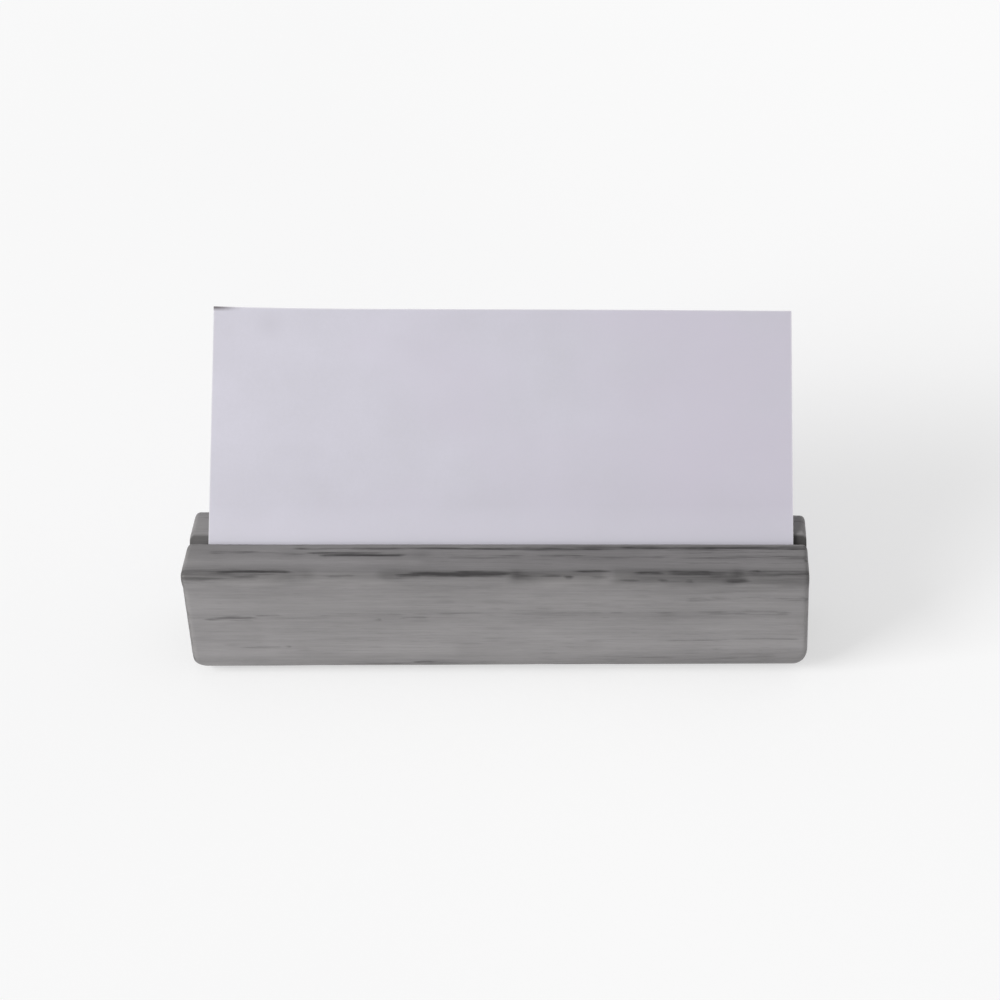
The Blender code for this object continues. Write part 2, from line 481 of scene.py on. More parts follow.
def surfaced_girth(along, outline):
    """The girth whose layer of wood comes to the surface at each point of a section that is drawn in."""
    girth = section_girth()
    ahead = np.isin(OUTLINE_PARTS, ("top_front", "edge_front_top", "front"))
    fall = np.array((-math.sin(GRAIN_DIP), -math.cos(GRAIN_DIP)))
    full_depth = np.maximum.accumulate(section(along, 0.0, 0.0)[ahead] @ fall)
    girth[ahead] = np.interp(outline[ahead] @ fall, full_depth, girth[ahead])
    return girth


def low_weight():
    """How far each point of the outline belongs to the underside, from 0 on the sides to 1 on its flat."""
    weight = (OUTLINE_PARTS == "bottom").astype(float)
    for part, turned in (("edge_front_bottom", False), ("edge_rear_bottom", True)):
        share = np.arange(OUTLINE_STEPS[part]) / OUTLINE_STEPS[part]
        weight[OUTLINE_PARTS == part] = 1.0 - share if turned else share
    return weight


def kerf_weight():
    """How deep in the kerf each point of the outline is, from 0 at its lips to 1 below them, which sets its
    painted shade.
    """
    weight = (OUTLINE_PARTS == "kerf_floor").astype(float)
    for part, turned in (("kerf_rear", False), ("kerf_front", True)):
        depth = KERF_DEPTH * np.arange(OUTLINE_STEPS[part]) / OUTLINE_STEPS[part]
        deep = smooth(depth / KERF_LIP_FADE)
        weight[OUTLINE_PARTS == part] = deep[::-1] if turned else deep
    return weight


def edge_weight():
    """How much of an eased edge each point of the outline is, from 0 on a flat to 1 in an edge's middle."""
    weight = np.zeros(len(OUTLINE_PARTS))
    for part, steps in OUTLINE_STEPS.items():
        if part.startswith("edge"):
            weight[OUTLINE_PARTS == part] = np.sin(math.pi * np.arange(steps) / steps)
    return weight


def stations():
    """Place along the bar of each section, from left to right, and how far its sides and underside turn."""
    flat = BAR_LENGTH / 2.0 - EDGE_RADIUS
    middle = np.linspace(-flat, flat, round(2.0 * flat / STATION_STEP) + 1)
    turn = np.linspace(0.0, END_ANGLE, END_STEPS + 1)[1:]
    beyond = flat + EDGE_RADIUS * np.sin(turn)
    x = np.concatenate([-beyond[::-1], middle, beyond])
    low_turns = np.concatenate([turn[::-1], np.zeros(len(middle)), turn])
    from_end = BAR_LENGTH / 2.0 - np.abs(x)
    turns = np.arcsin(np.clip(1.0 - from_end / END_RADIUS, 0.0, 1.0))
    return x, turns, low_turns


def marks(rows, x, girth, wander):
    """The shape of each listed mark in turn, from 0 to how dark it is."""
    for start, end, girth_start, girth_end, half_width, dark in rows:
        share = np.clip((x / MM - start) / (end - start), 0.0, 1.0)
        line = (girth_start + (girth_end - girth_start) * share) * MM + wander
        fade = min(STREAK_FADE, (end - start) * MM / 2.0)
        along = smooth((x - start * MM) / fade) * smooth((end * MM - x) / fade)
        yield dark * along * np.exp(-(((girth - line) / (half_width * MM)) ** 2))


def guessed_streaks(rng):
    """Streaks like the listed ones on the underside, the back and the rear of the top."""
    for _ in range(GUESSED_STREAKS):
        start = rng.uniform(*GUESSED_START)
        low, high = GUESSED_GIRTH
        band = low + GUESSED_BAND * rng.integers(0, int((high - low) / GUESSED_BAND) + 1)
        girth = band + rng.normal(0.0, GUESSED_SPREAD)
        end = start + rng.uniform(*GUESSED_LENGTH)
        girth_end = girth + rng.normal(0.0, GUESSED_DRIFT)
        half_width = rng.uniform(*GUESSED_HALF_WIDTH)
        dark = rng.uniform(*GUESSED_DARK)
        yield start, end, girth, girth_end, half_width, dark


def streak_field(rng, x, girth):
    """How far each point lies in a streak of open pores, from 0 to 1."""
    wander = STREAK_WANDER * lattice_noise(rng, x / WANDER_CELL, np.zeros_like(x))
    rows = [*STREAKS, *guessed_streaks(rng)]
    full = np.max(list(marks(rows, x, girth, wander)), axis=0)
    lines = relief(rng, x, girth, LINE_CELL)
    ragged = relief(rng, x, girth, RAGGED_CELL)
    return np.clip(full * (1.0 + LINE_BREAK * lines + RAGGED_BREAK * ragged), 0.0, 1.0)


def pore_field(rng, x, girth):
    """Short open pores along the grain, denser in the bands of early wood."""
    fine = relief(rng, x, girth, PORE_CELL)
    band = relief(rng, x, girth, PORE_BAND_CELL)
    share = np.clip(PORE_SHARE + PORE_BAND_SHARE * band, 0.0, 1.0)
    pores = smooth((fine - PORE_FROM) / PORE_SPAN) * share
    return pores * np.where(girth < GUESSED_GIRTH[0] * MM, PORE_SHARE_AHEAD, 1.0)


def bar_mesh(rng, end_rng):
    """Sections from end to end joined by quads, with a cap on each end, and then carved."""
    x, turn, low_turn = stations()
    inset = END_RADIUS * (1.0 - np.cos(turn))
    low_inset = EDGE_RADIUS * (1.0 - np.cos(low_turn))
    outlines = np.array([section(*place) for place in zip(x, inset, low_inset)])
    girth = np.concatenate([surfaced_girth(*place) for place in zip(x, outlines)])
    rows, columns = outlines.shape[:2]
    points = np.concatenate([np.repeat(x, columns)[:, None], outlines.reshape(-1, 2)], 1)

    index = np.arange(rows * columns).reshape(rows, columns)
    after = np.roll(index, -1, 1)
    quads = np.stack([index[:-1], after[:-1], after[1:], index[1:]], -1).reshape(-1, 4)
    faces = quads.tolist()

    end_points = []
    for row in (0, rows - 1):
        added, triangles = end_cap(end_rng, outlines[row], index[row], len(points) + len(end_points))
        end_points += [(x[row], y, z) for y, z in added]
        faces += triangles
    mesh = bpy.data.meshes.new("oak_bar")
    mesh.from_pydata(skewed(np.concatenate([points, end_points])).tolist(), [], faces)
    face_outwards(mesh)
    mesh.shade_smooth()
    turned = turn[:, None] + (low_turn - turn)[:, None] * low_weight()
    carve_bar(rng, mesh, np.repeat(x, columns), girth, turned.ravel())
    return mesh


def skewed(points):
    """The same points with both ends sawn a little out of square."""
    middle = (BAR_LOW + BAR_HIGH) / 2.0
    size = BAR_HIGH - BAR_LOW
    lift = (points[:, 2] - middle.z) / (size.z / 2.0)
    ahead = (BAR_HIGH.y - points[:, 1]) / size.y
    skew = np.interp(points[:, 0], (BAR_LOW.x, 0.0, BAR_HIGH.x), (LEFT_END_SKEW, 0.0, RIGHT_END_SKEW))
    nose = np.interp(points[:, 0], (BAR_LOW.x, 0.0, BAR_HIGH.x), (LEFT_NOSE, 0.0, -RIGHT_NOSE))
    on_front = np.clip(1.0 - (points[:, 1] - BAR_LOW.y) / EDGE_RADIUS, 0.0, 1.0)
    below_top = np.clip((BAR_HIGH.z - points[:, 2]) / EDGE_RADIUS, 0.0, 1.0)
    heel = np.interp(points[:, 0], (BAR_LOW.x, 0.0), (LEFT_HEEL, 0.0))
    moved = points.copy()
    moved[:, 0] += nose * on_front * below_top + heel * (1.0 - ahead) - skew * lift * ahead
    return moved


def end_cap(rng, outline, ring, first_new):
    """Triangles over one flat end, whose inner points let it carry its own relief."""
    lines = [np.arange(low, high, END_GRID) for low, high in zip(outline.min(0), outline.max(0))]
    grid = np.stack(np.meshgrid(*lines), -1).reshape(-1, 2)
    grid = grid + rng.uniform(-END_JITTER, END_JITTER, grid.shape) * END_GRID
    clear = np.linalg.norm(grid[:, None] - outline[None], axis=2).min(1) > END_GRID / 2.0
    corners = [Vector(corner) for corner in np.concatenate([outline, grid[clear]]) / MM]
    rim = [(i, (i + 1) % len(outline)) for i in range(len(outline))]
    filled = delaunay_2d_cdt(corners, rim, [], INSIDE_ONLY, END_WELD)
    found, _, triangles, origins, _, _ = filled
    added = []
    names = []
    for place, origin in zip(found, origins):
        source = min(origin)
        if source < len(ring):
            names.append(int(ring[source]))
        else:
            names.append(first_new + len(added))
            added.append((place.x * MM, place.y * MM))
    return added, [[names[i] for i in triangle] for triangle in triangles]


def face_outwards(mesh):
    """Turns all faces outwards and drops points that no face uses."""
    shape = bmesh.new()
    shape.from_mesh(mesh)
    bmesh.ops.recalc_face_normals(shape, faces=shape.faces)
    loose = [vertex for vertex in shape.verts if not vertex.link_faces]
    bmesh.ops.delete(shape, geom=loose, context="VERTS")
    shape.to_mesh(mesh)
    shape.free()


def carve_bar(rng, mesh, x, girth, turn):
    """Cuts grain, pores, streaks and saw marks into the surface, and notes them for the finish."""
    count = len(mesh.vertices)
    skin = len(x)
    places = np.empty(count * 3, np.float32)
    normals = np.empty(count * 3, np.float32)
    mesh.vertices.foreach_get("co", places)
    mesh.vertex_normals.foreach_get("vector", normals)
    places = places.reshape(-1, 3)
    normals = normals.reshape(-1, 3)

    rows = skin // len(OUTLINE_PARTS)
    kerf = np.tile(np.char.startswith(OUTLINE_PARTS, "kerf"), rows).astype(float)
    side = np.clip(STREAK_HOLD * np.cos(turn), 0.0, 1.0) * (1.0 - kerf)
    streak = streak_field(rng, x, girth) * side
    # Stains from the listed rows, a few of which are painted shade and painted light
    stain_and_painted_light = np.sum(list(marks(STAINS_AND_PAINTED_LIGHT, x, girth, 0.0)), axis=0) * (1.0 - kerf)
    pore = pore_field(rng, x, girth) * side
    uneven = relief(rng, x, girth, PLANE_CELL)
    fibre = relief(rng, x, girth, FIBRE_CELL)
    saw = relief(rng, x, girth, SAW_MARK_CELL)
    height = PLANE_UNEVENNESS * uneven * np.cos(turn) + FIBRE_HEIGHT * fibre * side
    height += SAW_MARK_HEIGHT * saw * kerf - STREAK_DEPTH * streak - PORE_DEPTH * pore

    ends = places[skin:]
    end_height = END_ROUGHNESS * relief(rng, ends[:, 1], ends[:, 2], END_CELL)
    places += normals * np.concatenate([height, end_height])[:, None].astype(np.float32)
    mesh.vertices.foreach_set("co", places.ravel())

    none = np.zeros(count - skin)
    edge = np.maximum(np.tile(edge_weight(), rows), np.sin(2.0 * turn)) * (1.0 - kerf)
    kerf_shade = np.tile(kerf_weight(), (rows, 1))
    kerf_shade[[0, -1]] = 0.0  # so that the ends keep their own colour, without painted shade, up to the kerf
    set_attribute(mesh, "streak", np.concatenate([streak, none]))
    set_attribute(mesh, "stain_and_painted_light", np.concatenate([stain_and_painted_light, none]))
    set_attribute(mesh, "pore", np.concatenate([pore, none]))
    set_attribute(mesh, "edge", np.concatenate([edge, none]))
    set_attribute(mesh, "kerf", np.concatenate([kerf_shade.ravel(), none]))
    set_attribute(mesh, "end", np.concatenate([np.sin(turn) * (1.0 - kerf), none + 1.0]))
    mesh.update()


# Growth rings circle a pith that lay below and behind the bar
PITH_BELOW = 50.0 * MM
PITH_BEHIND = 46.0 * MM
RING_WIDTH = 3.1 * MM
RING_WAVER = 0.5  # of a ring's width, by which the bands push the rings about
EARLY_SPAN = (0.02, 0.22)  # of a ring's width from its start, over which early wood gives way
RINGS_FROM = 0.5  # of the turn onto an end, where the rings begin to show
SIDE_RINGS = 0.15  # of their strength, on the long sides
OAK_DEEP = (0.055, 0.052, 0.053)
OAK_DARK = (0.177, 0.171, 0.172)
OAK_LIGHT = (0.286, 0.276, 0.278)
OAK_PORE = (0.032, 0.030, 0.031)
OAK_WORN = (0.380, 0.366, 0.358)
# Painted shade: a near-black colour on the kerf's walls and floor below its lips
OAK_KERF_SHADE = (0.055, 0.052, 0.051)
KERF_SHADE_SHARES = (0.68, 0.94)  # of the kerf's painted shade, at its left and right end
# Cells of the finish's noise along the bar, across it and upwards, and the weights that make up its tone
OAK_FIBRE_CELL = (16.0 * MM, 0.5 * MM, 0.5 * MM)
OAK_HAIR_CELL = (5.0 * MM, 0.14 * MM, 0.14 * MM)
OAK_BUNDLE_CELL = (12.0 * MM, 0.65 * MM, 0.65 * MM)
OAK_BUNDLE_OFFSET = (3.0, 1.0, 2.0)
OAK_BAND_CELL = (150.0 * MM, 5.0 * MM, 5.0 * MM)
OAK_BLOTCH_CELL = (30.0 * MM, 9.0 * MM, 9.0 * MM)
FIBRE_TONE = 0.30
HAIR_TONE = 0.18
BAND_TONE = 0.22
BLOTCH_TONE = 0.30
EARLY_TONE = -0.12
STAIN_AND_LIGHT_TONE = -1.0
END_PAINTED_SHADE_AND_LIGHT = (-0.36, 0.14)  # painted shade on the left end and painted light on the right end
DARK_AT = 0.32  # of the tone, where the oak is dark
LIGHT_AT = 0.68
# Small pores, worn edges and streaks
HAIR_SPAN = (0.60, 0.70)  # of the hair noise, over which its pores open
HAIR_PORES = 0.20
EARLY_PORES = 0.35
CUT_PORES = 0.40
WORN_SPAN = (0.48, 0.70)  # of the blotches, over which the edges get worn
WORN_SHARE = 0.22
BUNDLE_WEIGHT = 1.6
STREAK_WEIGHT = 1.1
STREAK_SPAN = (1.10, 1.90)  # of bundles and streaks together, over which a streak gets dark
STREAK_SHARE = 0.88
OAK_ROUGHNESS = 0.42
FIBRE_ROUGHNESS = 0.25
STREAK_ROUGHNESS = 0.2
OAK_BUMP = 0.035 * MM


def oak_finish():
    tree = Tree("grey_stained_oak")
    fibre = tree.noise(OAK_FIBRE_CELL, detail=3.0, roughness=0.6)
    hair = tree.noise(OAK_HAIR_CELL, detail=2.0)
    bundle = tree.noise(OAK_BUNDLE_CELL, detail=5.0, roughness=0.65, offset=OAK_BUNDLE_OFFSET)
    band = tree.noise(OAK_BAND_CELL, detail=2.0)
    blotch = tree.noise(OAK_BLOTCH_CELL, detail=3.0)
    end = tree.attribute("end")
    streak = tree.attribute("streak")
    stain_and_painted_light = tree.attribute("stain_and_painted_light")
    place = tree.add("ShaderNodeSeparateXYZ")
    tree.put(place.inputs["Vector"], tree.place)
    along = place.outputs["X"]

    pith = tree.scaled((0.0, 1.0, 1.0), (0.0, -PITH_BEHIND, PITH_BELOW))
    radius = tree.add("ShaderNodeVectorMath", operation="LENGTH")
    tree.put(radius.inputs[0], pith)
    rings = tree.math("DIVIDE", radius.outputs["Value"], RING_WIDTH)
    wavy = tree.math("MULTIPLY_ADD", band, RING_WAVER, rings)
    early = tree.span(tree.math("PINGPONG", wavy, 0.5), *EARLY_SPAN, 1.0, 0.0)
    early = tree.math("MULTIPLY", early, tree.span(end, RINGS_FROM, 1.0, SIDE_RINGS, 1.0))

    tone = tree.weighted((fibre, FIBRE_TONE), (hair, HAIR_TONE), (band, BAND_TONE), (blotch, BLOTCH_TONE))
    # Painted shade on the left end and painted light on the right one, which even out the key's light from
    # the left
    end_shade_and_light = tree.math("MULTIPLY", end, tree.span(along, BAR_LOW.x, BAR_HIGH.x, *END_PAINTED_SHADE_AND_LIGHT))
    tone = tree.weighted((early, EARLY_TONE), (stain_and_painted_light, STAIN_AND_LIGHT_TONE), (end_shade_and_light, 1.0), (tone, 1.0))
    colour = tree.ramp(tone, (0.0, OAK_DEEP), (DARK_AT, OAK_DARK), (LIGHT_AT, OAK_LIGHT))

    open_hair = tree.span(hair, *HAIR_SPAN)
    small_pore = tree.math("MULTIPLY", open_hair, tree.math("MULTIPLY_ADD", early, EARLY_PORES, HAIR_PORES))
    small_pore = tree.math("MULTIPLY_ADD", tree.attribute("pore"), CUT_PORES, small_pore)
    colour = tree.mix(colour, OAK_PORE, small_pore)
    worn = tree.math("MULTIPLY", tree.attribute("edge"), tree.span(blotch, *WORN_SPAN, 0.0, WORN_SHARE))
    colour = tree.mix(colour, OAK_WORN, worn)
    broken = tree.weighted((bundle, BUNDLE_WEIGHT), (streak, STREAK_WEIGHT))
    dark = tree.math("MULTIPLY", tree.span(broken, *STREAK_SPAN), STREAK_SHARE)
    colour = tree.mix(colour, OAK_PORE, dark)
    # Painted shade in the kerf, lighter at its left end, where the key's light reaches in
    kerf_shade = tree.span(along, BAR_LOW.x, BAR_HIGH.x, *KERF_SHADE_SHARES)
    colour = tree.mix(colour, OAK_KERF_SHADE, tree.math("MULTIPLY", tree.attribute("kerf"), kerf_shade))

    rough = tree.weighted((fibre, FIBRE_ROUGHNESS), (dark, STREAK_ROUGHNESS))
    rough = tree.math("ADD", rough, OAK_ROUGHNESS)
    height = tree.weighted((fibre, 0.5), (hair, 0.5), (small_pore, -1.0), (dark, -1.0))
    tree.bump(height, OAK_BUMP)
    return tree.finish(Base_Color=colour, Roughness=rough, Specular_IOR_Level=0.35)


def make_bar():
    rng = np.random.default_rng(SEED)
    end_rng = np.random.default_rng(SEED + 2)
    bar = link(bpy.data.objects.new("oak_bar", bar_mesh(rng, end_rng)))
    bar.data.materials.append(oak_finish())
    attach(bar, "holder")
    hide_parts("wood_block")


# Card

CARD_STEP = 1.2 * MM
CARD_RIM_WIDTH = 0.35 * MM
CARD_TOP_SKEW = 0.5 * MM  # by which the hand-cut top edge rises to the left and falls to the right
CARD_CORNER_LIFT = 0.6 * MM  # by which the top edge curves up to its left corner
CARD_CORNER_FROM = 0.4  # of the way from the card's middle to its left edge, where that curve begins
CARD_SIDE_SKEW = 0.3 * MM  # by which the right edge runs out towards the top
CARD_BOW = 0.5 * MM
CARD_WAVE = 0.12 * MM
CARD_WAVE_CELLS = 2.5  # over half of the card's width, and over its height
CARD_HELD = 16.0 * MM  # of the card's height, which the kerf keeps flat
CARD_CORNER_LINE_LENGTH = 7.5 * MM  # of the dark line along the top edge at the left corner
CARD_CORNER_LINE_DEPTH = 0.7 * MM
CARD_TINT = (0.584, 0.570, 0.640)
CARD_SHADE = (0.531, 0.518, 0.575)
CARD_ROSE = (0.572, 0.540, 0.622)
# Painted light: a paler band low on the card, against the shade that the bar casts on its foot
CARD_PAINTED_LIGHT = (0.690, 0.676, 0.748)
CARD_RIM = (0.740, 0.732, 0.760)
CARD_DARK_MARK = (0.120, 0.105, 0.110)
PAINTED_LIGHT_FROM = 10.0 * MM  # up the card, below which it gets its full painted light, against the shade that the bar casts on its foot
PAINTED_LIGHT_TO = 21.0 * MM
PAINTED_LIGHT_SHARE = 0.55
SMUDGE_PLACE = (-57.5 * MM, 0.0, 66.3 * MM)
SMUDGE_RADIUS = 4.5 * MM
SMUDGE_FLECKS = (0.25, 0.75)  # of the fleck noise, over which the smudge fills
SMUDGE_LEAST = 0.5
SMUDGE_SHARE = 0.10
CORNER_LINE_SHARE = 0.9
RIM_SHARE = 0.7
# Cells of the card's noise across it, through it and upwards, and the weights that make up its tone
CLOUD_CELL = (20.0 * MM, 20.0 * MM, 16.0 * MM)
TINT_CELL = (34.0 * MM, 34.0 * MM, 26.0 * MM)
TINT_OFFSET = (5.0, 2.0, 7.0)
FLECK_CELL = (0.9 * MM, 0.9 * MM, 0.9 * MM)
PAPER_FIBRE_CELL = (0.8 * MM, 0.2 * MM, 0.15 * MM)
CLOUD_TONE = 0.60
FLECK_TONE = 0.25
PAPER_FIBRE_TONE = 0.15
SHADE_AT = 0.30
TINT_AT = 0.70
ROSE_WEIGHT = 1.6
ROSE_PER_METRE = 6.0  # to the right
ROSE_SPAN = (0.6, 1.3)
ROSE_SHARE = 0.8
FLECK_SPAN = (0.3, 0.7)
CARD_ROUGHNESS = (0.60, 0.72)
CARD_BUMP = 0.02 * MM


def card_place():
    """The card's lower front edge and its lean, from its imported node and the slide's axis."""
    axis = Vector(frame["joints"][0]["axis"])
    lean = math.atan2(axis.y, axis.z)
    low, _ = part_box("menu_card")
    foot = Vector((CARD_MIDDLE_X, low.y, low.z + CARD_THICKNESS * math.sin(lean)))
    return foot, lean


def card_lines(length):
    """Where the grid's lines lie along one side of the card, as shares, with one close to each cut edge."""
    even = np.linspace(0.0, length, round(length / CARD_STEP) + 1)
    lines = np.concatenate([even, [CARD_RIM_WIDTH, length - CARD_RIM_WIDTH]])
    return np.sort(lines) / length


def card_mesh(rng):
    """Front and back of the card in its own plane, joined round the cut edge."""
    u, v = np.meshgrid(2.0 * card_lines(CARD_WIDTH) - 1.0, card_lines(CARD_HEIGHT))
    x = u * CARD_WIDTH / 2.0 + CARD_SIDE_SKEW * v * np.clip(u, 0.0, 1.0)
    corner = np.clip((-u - CARD_CORNER_FROM) / (1.0 - CARD_CORNER_FROM), 0.0, 1.0)
    z = v * (CARD_HEIGHT - CARD_TOP_SKEW * u + CARD_CORNER_LIFT * corner * corner)
    free = smooth((z - CARD_HELD) / (CARD_HEIGHT - CARD_HELD))
    y = free * (CARD_BOW * u * u + CARD_WAVE * lattice_noise(rng, u * CARD_WAVE_CELLS, v * CARD_WAVE_CELLS))
    front = np.stack([x, y, z], -1).reshape(-1, 3)
    back = front + np.array((0.0, CARD_THICKNESS, 0.0))

    index = np.arange(len(front)).reshape(u.shape)
    quads = np.stack([index[:-1, :-1], index[:-1, 1:], index[1:, 1:], index[1:, :-1]], -1).reshape(-1, 4)
    rim = np.concatenate([index[0, :-1], index[:-1, -1], index[-1, :0:-1], index[:0:-1, 0]])
    after = np.roll(rim, -1)
    behind = len(front)
    sides = np.stack([rim, rim + behind, after + behind, after], -1)
    faces = np.concatenate([quads, quads[:, ::-1] + behind, sides])
    mesh = bpy.data.meshes.new("blank_card")
    mesh.from_pydata(np.concatenate([front, back]).tolist(), [], faces.tolist())
    face_outwards(mesh)
    mesh.shade_smooth()
    mesh.set_sharp_from_angle(angle=SHARP_ANGLE)

    is_rim = np.zeros(len(front))
    is_rim[rim] = 1.0
    from_corner = (u + 1.0) * CARD_WIDTH / 2.0
    # A dark line along the top edge at the left corner
    near_top = np.clip(2.0 - 2.0 * (1.0 - v) * CARD_HEIGHT / CARD_CORNER_LINE_DEPTH, 0.0, 1.0)
    corner_line = smooth(1.0 - from_corner / CARD_CORNER_LINE_LENGTH) * near_top
    set_attribute(mesh, "rim", np.tile(is_rim, 2))
    set_attribute(mesh, "corner_line", np.tile(corner_line.ravel(), 2))
    return mesh


def card_finish():
    tree = Tree("white_card")
    cloud = tree.noise(CLOUD_CELL, detail=3.0)
    tint = tree.noise(TINT_CELL, detail=3.0, offset=TINT_OFFSET)
    fleck = tree.noise(FLECK_CELL, detail=3.0, roughness=0.7)
    fibre = tree.noise(PAPER_FIBRE_CELL, detail=3.0)
    tone = tree.weighted((cloud, CLOUD_TONE), (fleck, FLECK_TONE), (fibre, PAPER_FIBRE_TONE))
    colour = tree.ramp(tone, (SHADE_AT, CARD_SHADE), (TINT_AT, CARD_TINT))

    place = tree.add("ShaderNodeSeparateXYZ")
    tree.put(place.inputs["Vector"], tree.place)
    rose = tree.weighted((tint, ROSE_WEIGHT), (place.outputs["X"], ROSE_PER_METRE))
    colour = tree.mix(colour, CARD_ROSE, tree.span(rose, *ROSE_SPAN, 0.0, ROSE_SHARE))
    # Painted light on the card's foot, fading out upwards
    painted_light = tree.span(place.outputs["Z"], PAINTED_LIGHT_FROM, PAINTED_LIGHT_TO, PAINTED_LIGHT_SHARE, 0.0)
    colour = tree.mix(colour, CARD_PAINTED_LIGHT, painted_light)

    flecked = tree.span(fleck, *SMUDGE_FLECKS, SMUDGE_LEAST, 1.0)
    smudge = tree.math("MULTIPLY", tree.spot(SMUDGE_PLACE, SMUDGE_RADIUS), flecked)
    colour = tree.mix(colour, CARD_DARK_MARK, tree.math("MULTIPLY", smudge, SMUDGE_SHARE))
    colour = tree.mix(colour, CARD_RIM, tree.math("MULTIPLY", tree.attribute("rim"), RIM_SHARE))
    # The dark line along the top edge at the left corner
    colour = tree.mix(colour, CARD_DARK_MARK, tree.math("MULTIPLY", tree.attribute("corner_line"), CORNER_LINE_SHARE))

    rough = tree.span(fleck, *FLECK_SPAN, *CARD_ROUGHNESS)
    tree.bump(tree.weighted((fibre, 0.6), (fleck, 0.4)), CARD_BUMP)
    return tree.finish(Base_Color=colour, Roughness=rough, Specular_IOR_Level=0.30)


def make_card():
    rng = np.random.default_rng(SEED + 1)
    foot, lean = card_place()
    card = link(bpy.data.objects.new("blank_card", card_mesh(rng)))
    card.matrix_world = Matrix.Translation(foot) @ Matrix.Rotation(-lean, 4, "X")
    card.data.materials.append(card_finish())
    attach(card, "card")
    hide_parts("menu_card")


# Bumper feet

FOOT_SIDES = 64
FOOT_RIM_RADIUS = 0.35 * MM
FOOT_TAPER = 0.5 * MM
FOOT_RIM_STEPS = 6
FILM_INSET = 0.35 * MM
RUBBER_DARK = (0.018, 0.018, 0.019)
RUBBER_LIGHT = (0.036, 0.036, 0.038)
RUBBER_DARK_AT = 0.35
RUBBER_LIGHT_AT = 0.70
RUBBER_GRAIN = 0.25 * MM
RUBBER_BUMP = 0.03 * MM
DUST_CELL = 2.0 * MM
DUST_TONE = 0.6
DUST_SPAN = (0.3, 0.7)
DUST_ROUGHNESS = (0.62, 0.82)


def foot_profile(radius, height, film_top):
    """Half section of a bumper as (radius, height) points, from its base up to its adhesive film."""
    angle = np.linspace(0.0, math.pi / 2.0, FOOT_RIM_STEPS + 1)
    base = radius - FOOT_TAPER - FOOT_RIM_RADIUS
    low_rim = np.stack([base + FOOT_RIM_RADIUS * np.sin(angle), FOOT_RIM_RADIUS * (1.0 - np.cos(angle))], 1)
    shoulder = FOOT_RIM_RADIUS / 2.0
    across = radius - shoulder + shoulder * np.cos(angle)
    top_rim = np.stack([across, height - shoulder + shoulder * np.sin(angle)], 1)
    film = np.array([(radius - FILM_INSET, height), (radius - FILM_INSET, film_top)])
    return np.concatenate([low_rim, top_rim, film])


def foot_mesh(name, middle, radius, height, film_top):
    profile = foot_profile(radius, height, film_top)
    shape = bmesh.new()
    rings = []
    turns = [2.0 * math.pi * side / FOOT_SIDES for side in range(FOOT_SIDES)]
    for distance, level in profile:
        rings.append([
            shape.verts.new((middle.x + distance * math.cos(t), middle.y + distance * math.sin(t), level))
            for t in turns
        ])
    for low, high in zip(rings, rings[1:]):
        for i in range(FOOT_SIDES):
            j = (i + 1) % FOOT_SIDES
            shape.faces.new((low[i], low[j], high[j], high[i]))
    shape.faces.new(rings[0])
    shape.faces.new(rings[-1])
    bmesh.ops.recalc_face_normals(shape, faces=shape.faces)
    mesh = bpy.data.meshes.new(name)
    shape.to_mesh(mesh)
    shape.free()
    mesh.shade_smooth()
    mesh.set_sharp_from_angle(angle=SHARP_ANGLE)
    return mesh


def rubber_finish():
    tree = Tree("bumper_rubber")
    grain = tree.noise([RUBBER_GRAIN] * 3, detail=3.0)
    dust = tree.noise([DUST_CELL] * 3, detail=3.0)
    tone = tree.weighted((grain, 1.0 - DUST_TONE), (dust, DUST_TONE))
    colour = tree.ramp(tone, (RUBBER_DARK_AT, RUBBER_DARK), (RUBBER_LIGHT_AT, RUBBER_LIGHT))
    tree.bump(grain, RUBBER_BUMP)
    return tree.finish(Base_Color=colour, Roughness=tree.span(dust, *DUST_SPAN, *DUST_ROUGHNESS))


def make_feet():
    finish = rubber_finish()
    for node in sorted(name for name in frame["nodes"] if name.startswith("foot_")):
        low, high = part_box(node)
        name = node.replace("foot", "bumper")
        radius = (high.x - low.x) / 2.0
        mesh = foot_mesh(name, (low + high) / 2.0, radius, high.z, BAR_LOW.z)
        foot = link(bpy.data.objects.new(name, mesh))
        foot.data.materials.append(finish)
        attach(foot, "holder")
        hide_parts(node)


# Stage

FLOOR_RADIUS = 12.0
FLOOR_SIDES = 96
FLOOR_WHITE = (0.56, 0.56, 0.56)
FLOOR_SHADE = (0.54, 0.54, 0.543)
FLOOR_CELL = 0.3
FLOOR_SHADE_AT = 0.3
FLOOR_WHITE_AT = 0.7
KEY_PLACE = Vector((-1.10, -0.60, 0.60))
KEY_SIZE = 0.8
KEY_WATTS = 19.5
# The floor's own glow keeps it pale where the key fades: it grows away from the spot that the key lights
# most, by share of its reach, and a second pool of it lies behind the key
LIT_SPOT = Vector((-0.77, -0.42, 0.0))
GLOW_REACH = 2.5
GLOW_STOPS = (
    (0.20, 0.20),
    (0.28, 0.40),
    (0.35, 0.48),
    (0.45, 0.57),
    (0.55, 0.63),
    (0.70, 0.67),
    (1.00, 0.71),
)
POOL_SPOT = Vector((-1.43, -0.78, 0.0))
POOL_REACH = 1.4
POOL_GLOW = 0.35
# Brightness of the surround, by height from the horizon to overhead
SKY_STOPS = ((0.00, 0.92), (0.12, 0.24), (0.70, 0.48))


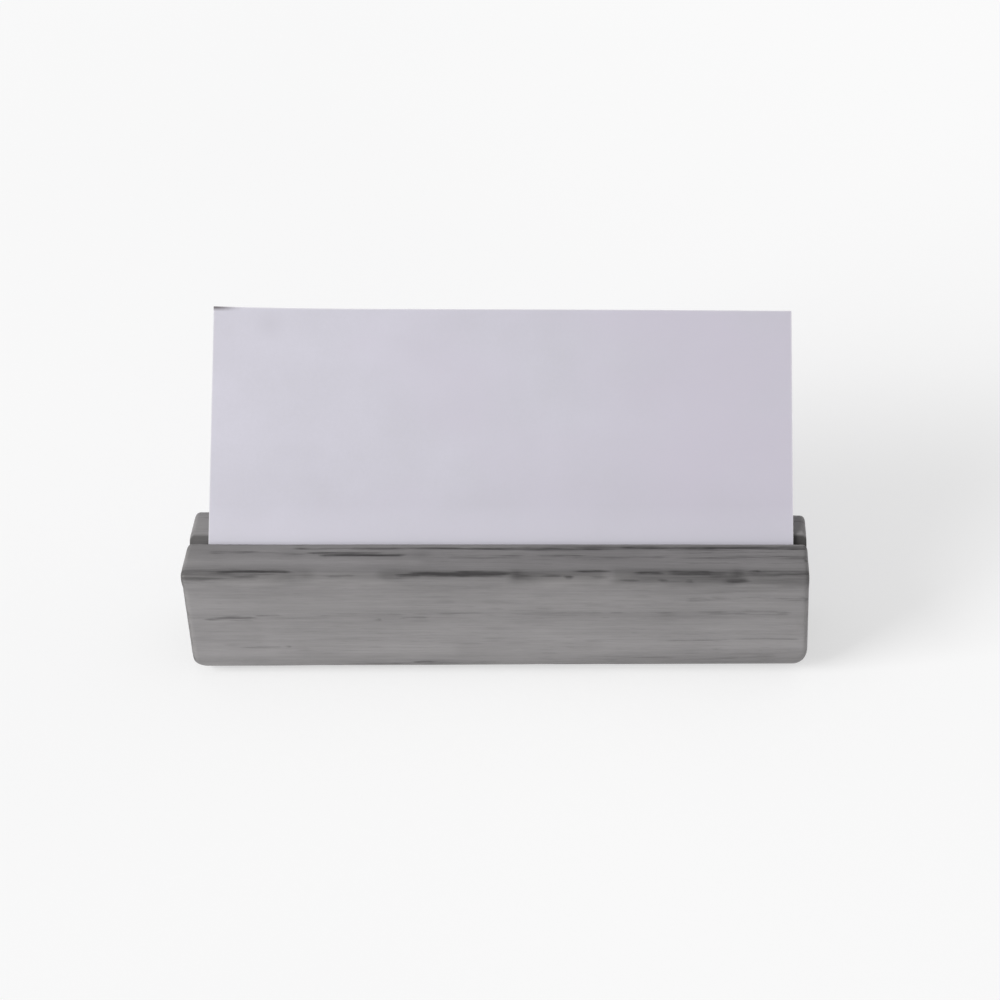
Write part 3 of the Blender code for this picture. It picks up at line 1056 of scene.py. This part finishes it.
def make_floor():
    shape = bmesh.new()
    bmesh.ops.create_circle(shape, cap_ends=True, segments=FLOOR_SIDES, radius=FLOOR_RADIUS)
    mesh = bpy.data.meshes.new("floor")
    shape.to_mesh(mesh)
    shape.free()
    floor = link(bpy.data.objects.new("floor", mesh))
    tree = Tree("pale_floor")
    cloud = tree.noise([FLOOR_CELL] * 3, detail=2.0)
    colour = tree.ramp(cloud, (FLOOR_SHADE_AT, FLOOR_SHADE), (FLOOR_WHITE_AT, FLOOR_WHITE))
    far = tree.spot(LIT_SPOT, GLOW_REACH, 0.0, 1.0)
    glow = tree.ramp(far, *[(place, (value, value, value)) for place, value in GLOW_STOPS])
    pool = tree.spot(POOL_SPOT, POOL_REACH, POOL_GLOW, 0.0)
    tree.finish(Base_Color=colour, Roughness=0.9, Specular_IOR_Level=0.0)
    tree.finish(Emission_Color=(1.0, 1.0, 1.0, 1.0), Emission_Strength=tree.math("ADD", glow, pool))
    mesh.materials.append(tree.material)


def softbox(name, place, aim, size, watts):
    lamp = bpy.data.lights.new(name, "AREA")
    lamp.shape = "SQUARE"
    lamp.size = size
    lamp.energy = watts
    light = link(bpy.data.objects.new(name, lamp))
    light.location = place
    light.rotation_euler = (aim - place).to_track_quat("-Z", "Y").to_euler()


def make_sky():
    """A white surround, brightest in a low band behind the floor's edge."""
    world = bpy.data.worlds.new("studio")
    world.use_nodes = True
    nodes = world.node_tree.nodes
    links = world.node_tree.links
    direction = nodes.new("ShaderNodeTexCoord")
    split = nodes.new("ShaderNodeSeparateXYZ")
    fade = nodes.new("ShaderNodeValToRGB")
    elements = fade.color_ramp.elements
    elements.new(0.5)
    for element, (height, value) in zip(elements, SKY_STOPS):
        element.position = height
        element.color = (value, value, value, 1.0)
    links.new(direction.outputs["Generated"], split.inputs["Vector"])
    links.new(split.outputs["Z"], fade.inputs["Fac"])
    links.new(fade.outputs["Color"], nodes["Background"].inputs["Color"])
    bpy.context.scene.world = world
    bpy.context.scene.view_settings.view_transform = "Standard"


def make_light():
    middle = (CAD_BOX[0] + CAD_BOX[1]) / 2.0
    softbox("key", KEY_PLACE, middle, KEY_SIZE, KEY_WATTS)
    make_sky()


def make_camera():
    forward = Vector((
        math.sin(CAMERA_YAW) * math.cos(CAMERA_PITCH),
        math.cos(CAMERA_YAW) * math.cos(CAMERA_PITCH),
        -math.sin(CAMERA_PITCH),
    ))
    level = Vector((math.cos(CAMERA_YAW), -math.sin(CAMERA_YAW), 0.0))
    upright = level.cross(forward)
    right = level * math.cos(CAMERA_ROLL) + upright * math.sin(CAMERA_ROLL)
    up = upright * math.cos(CAMERA_ROLL) - level * math.sin(CAMERA_ROLL)
    lens = bpy.data.cameras.new("camera")
    lens.sensor_width = SENSOR_WIDTH
    lens.lens = SENSOR_WIDTH * FOCAL_PIXELS / IMAGE_SIZE
    lens.clip_start = CLIP_START
    camera = link(bpy.data.objects.new("camera", lens))
    turn = Matrix((right, up, -forward)).transposed()
    camera.matrix_world = Matrix.Translation(CAMERA_PLACE) @ turn.to_4x4()
    bpy.context.scene.camera = camera


make_camera()
make_bar()
make_card()
make_feet()
make_floor()
make_light()
